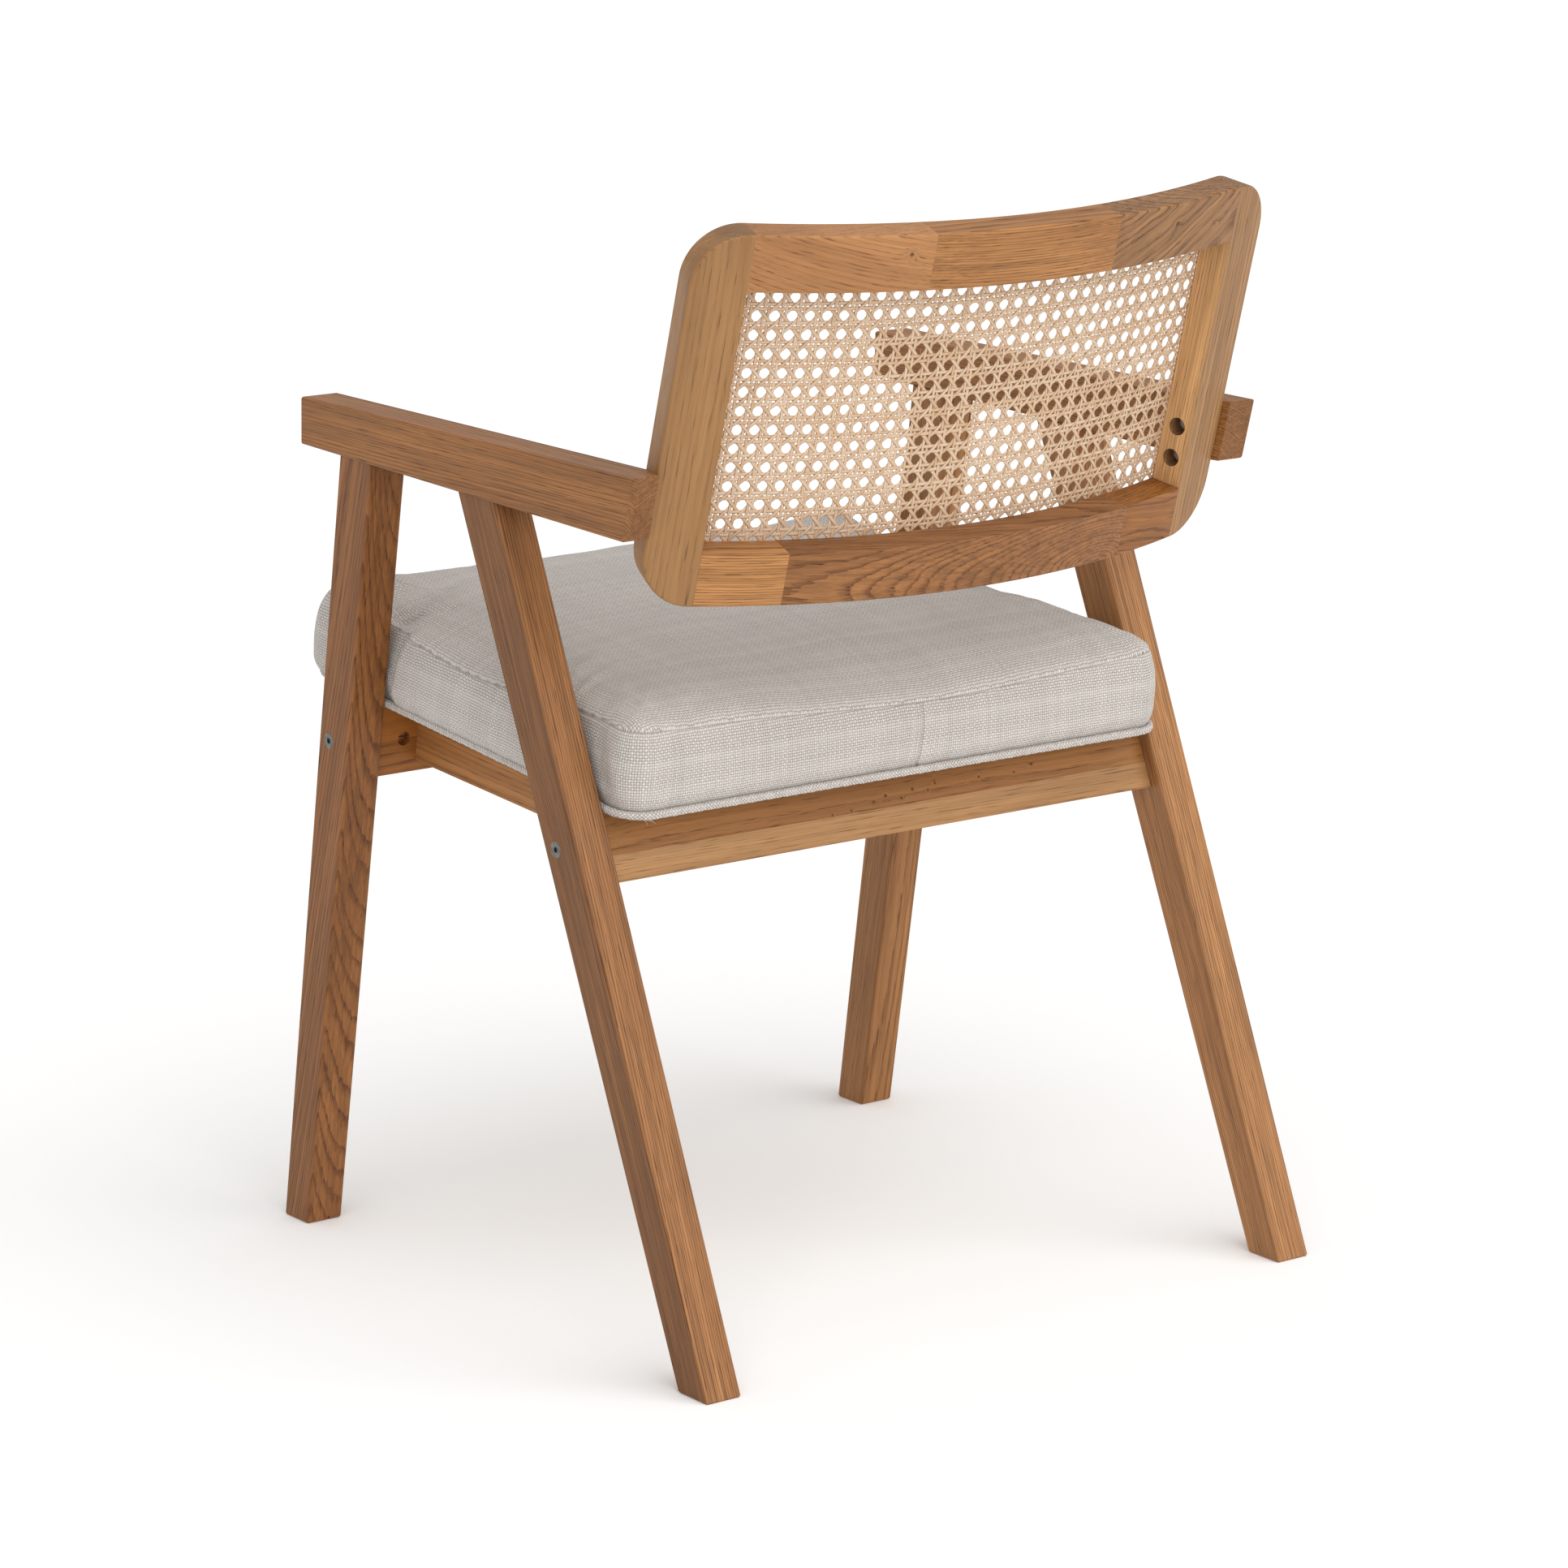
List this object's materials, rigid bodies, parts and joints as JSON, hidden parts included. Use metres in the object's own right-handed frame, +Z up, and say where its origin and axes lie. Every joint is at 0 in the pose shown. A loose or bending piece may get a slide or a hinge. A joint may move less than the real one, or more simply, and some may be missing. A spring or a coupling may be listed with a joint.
{
  "type": "armchair",
  "caption": "Wooden armchair with a reclined, curved cane back, straight arms on raked legs, and an upholstered seat pad on a bolted rail frame.",
  "frame": {"origin": "on the floor, under the middle of the chair's overall box", "axes": "+Z up, the sitter faces -Y, the sitter's left hand is on +X"},
  "size_m": [0.577, 0.5458, 0.8157],
  "materials": {
    "oiled_ash": "oiled satin, open grain",
    "corner_block_wood": "sanded, unfinished",
    "dowel_beech": "fluted, unfinished",
    "plywood": "sanded",
    "rattan_cane": "natural satin",
    "rattan_spline": "natural satin",
    "seat_cloth": "matt basket weave",
    "foam": "matt",
    "fastener_steel": "zinc plated, satin",
    "barrel_nut_brass": "satin"
  },
  "bodies": {
    "root": {"arm_facing_left": "oiled_ash", "arm_facing_right": "oiled_ash", "arm_left": "oiled_ash", "arm_right": "oiled_ash", "backrest_bottom_rail_left": "oiled_ash", "backrest_bottom_rail_middle": "oiled_ash", "backrest_bottom_rail_right": "oiled_ash", "backrest_dowels": "dowel_beech", "backrest_screws": "fastener_steel", "backrest_stile_left": "oiled_ash", "backrest_stile_right": "oiled_ash", "backrest_top_rail_left": "oiled_ash", "backrest_top_rail_middle": "oiled_ash", "backrest_top_rail_right": "oiled_ash", "barrel_nuts": "barrel_nut_brass", "cane_panel": "rattan_cane", "cane_spline": "rattan_spline", "corner_block_front_left": "corner_block_wood", "corner_block_front_right": "corner_block_wood", "corner_block_rear_left": "corner_block_wood", "corner_block_rear_right": "corner_block_wood", "front_leg_left": "oiled_ash", "front_leg_right": "oiled_ash", "leg_top_dowels": "dowel_beech", "rear_leg_left": "oiled_ash", "rear_leg_right": "oiled_ash", "seat_board": "plywood", "seat_board_screws": "fastener_steel", "seat_cover": "seat_cloth", "seat_foam": "foam", "seat_frame_bolts": "fastener_steel", "seat_frame_dowels": "dowel_beech", "seat_front_rail": "oiled_ash", "seat_piping": "seat_cloth", "seat_rear_rail_lower": "oiled_ash", "seat_rear_rail_upper": "oiled_ash", "seat_side_rail_left": "oiled_ash", "seat_side_rail_right": "oiled_ash"}
  },
  "joints": []
}
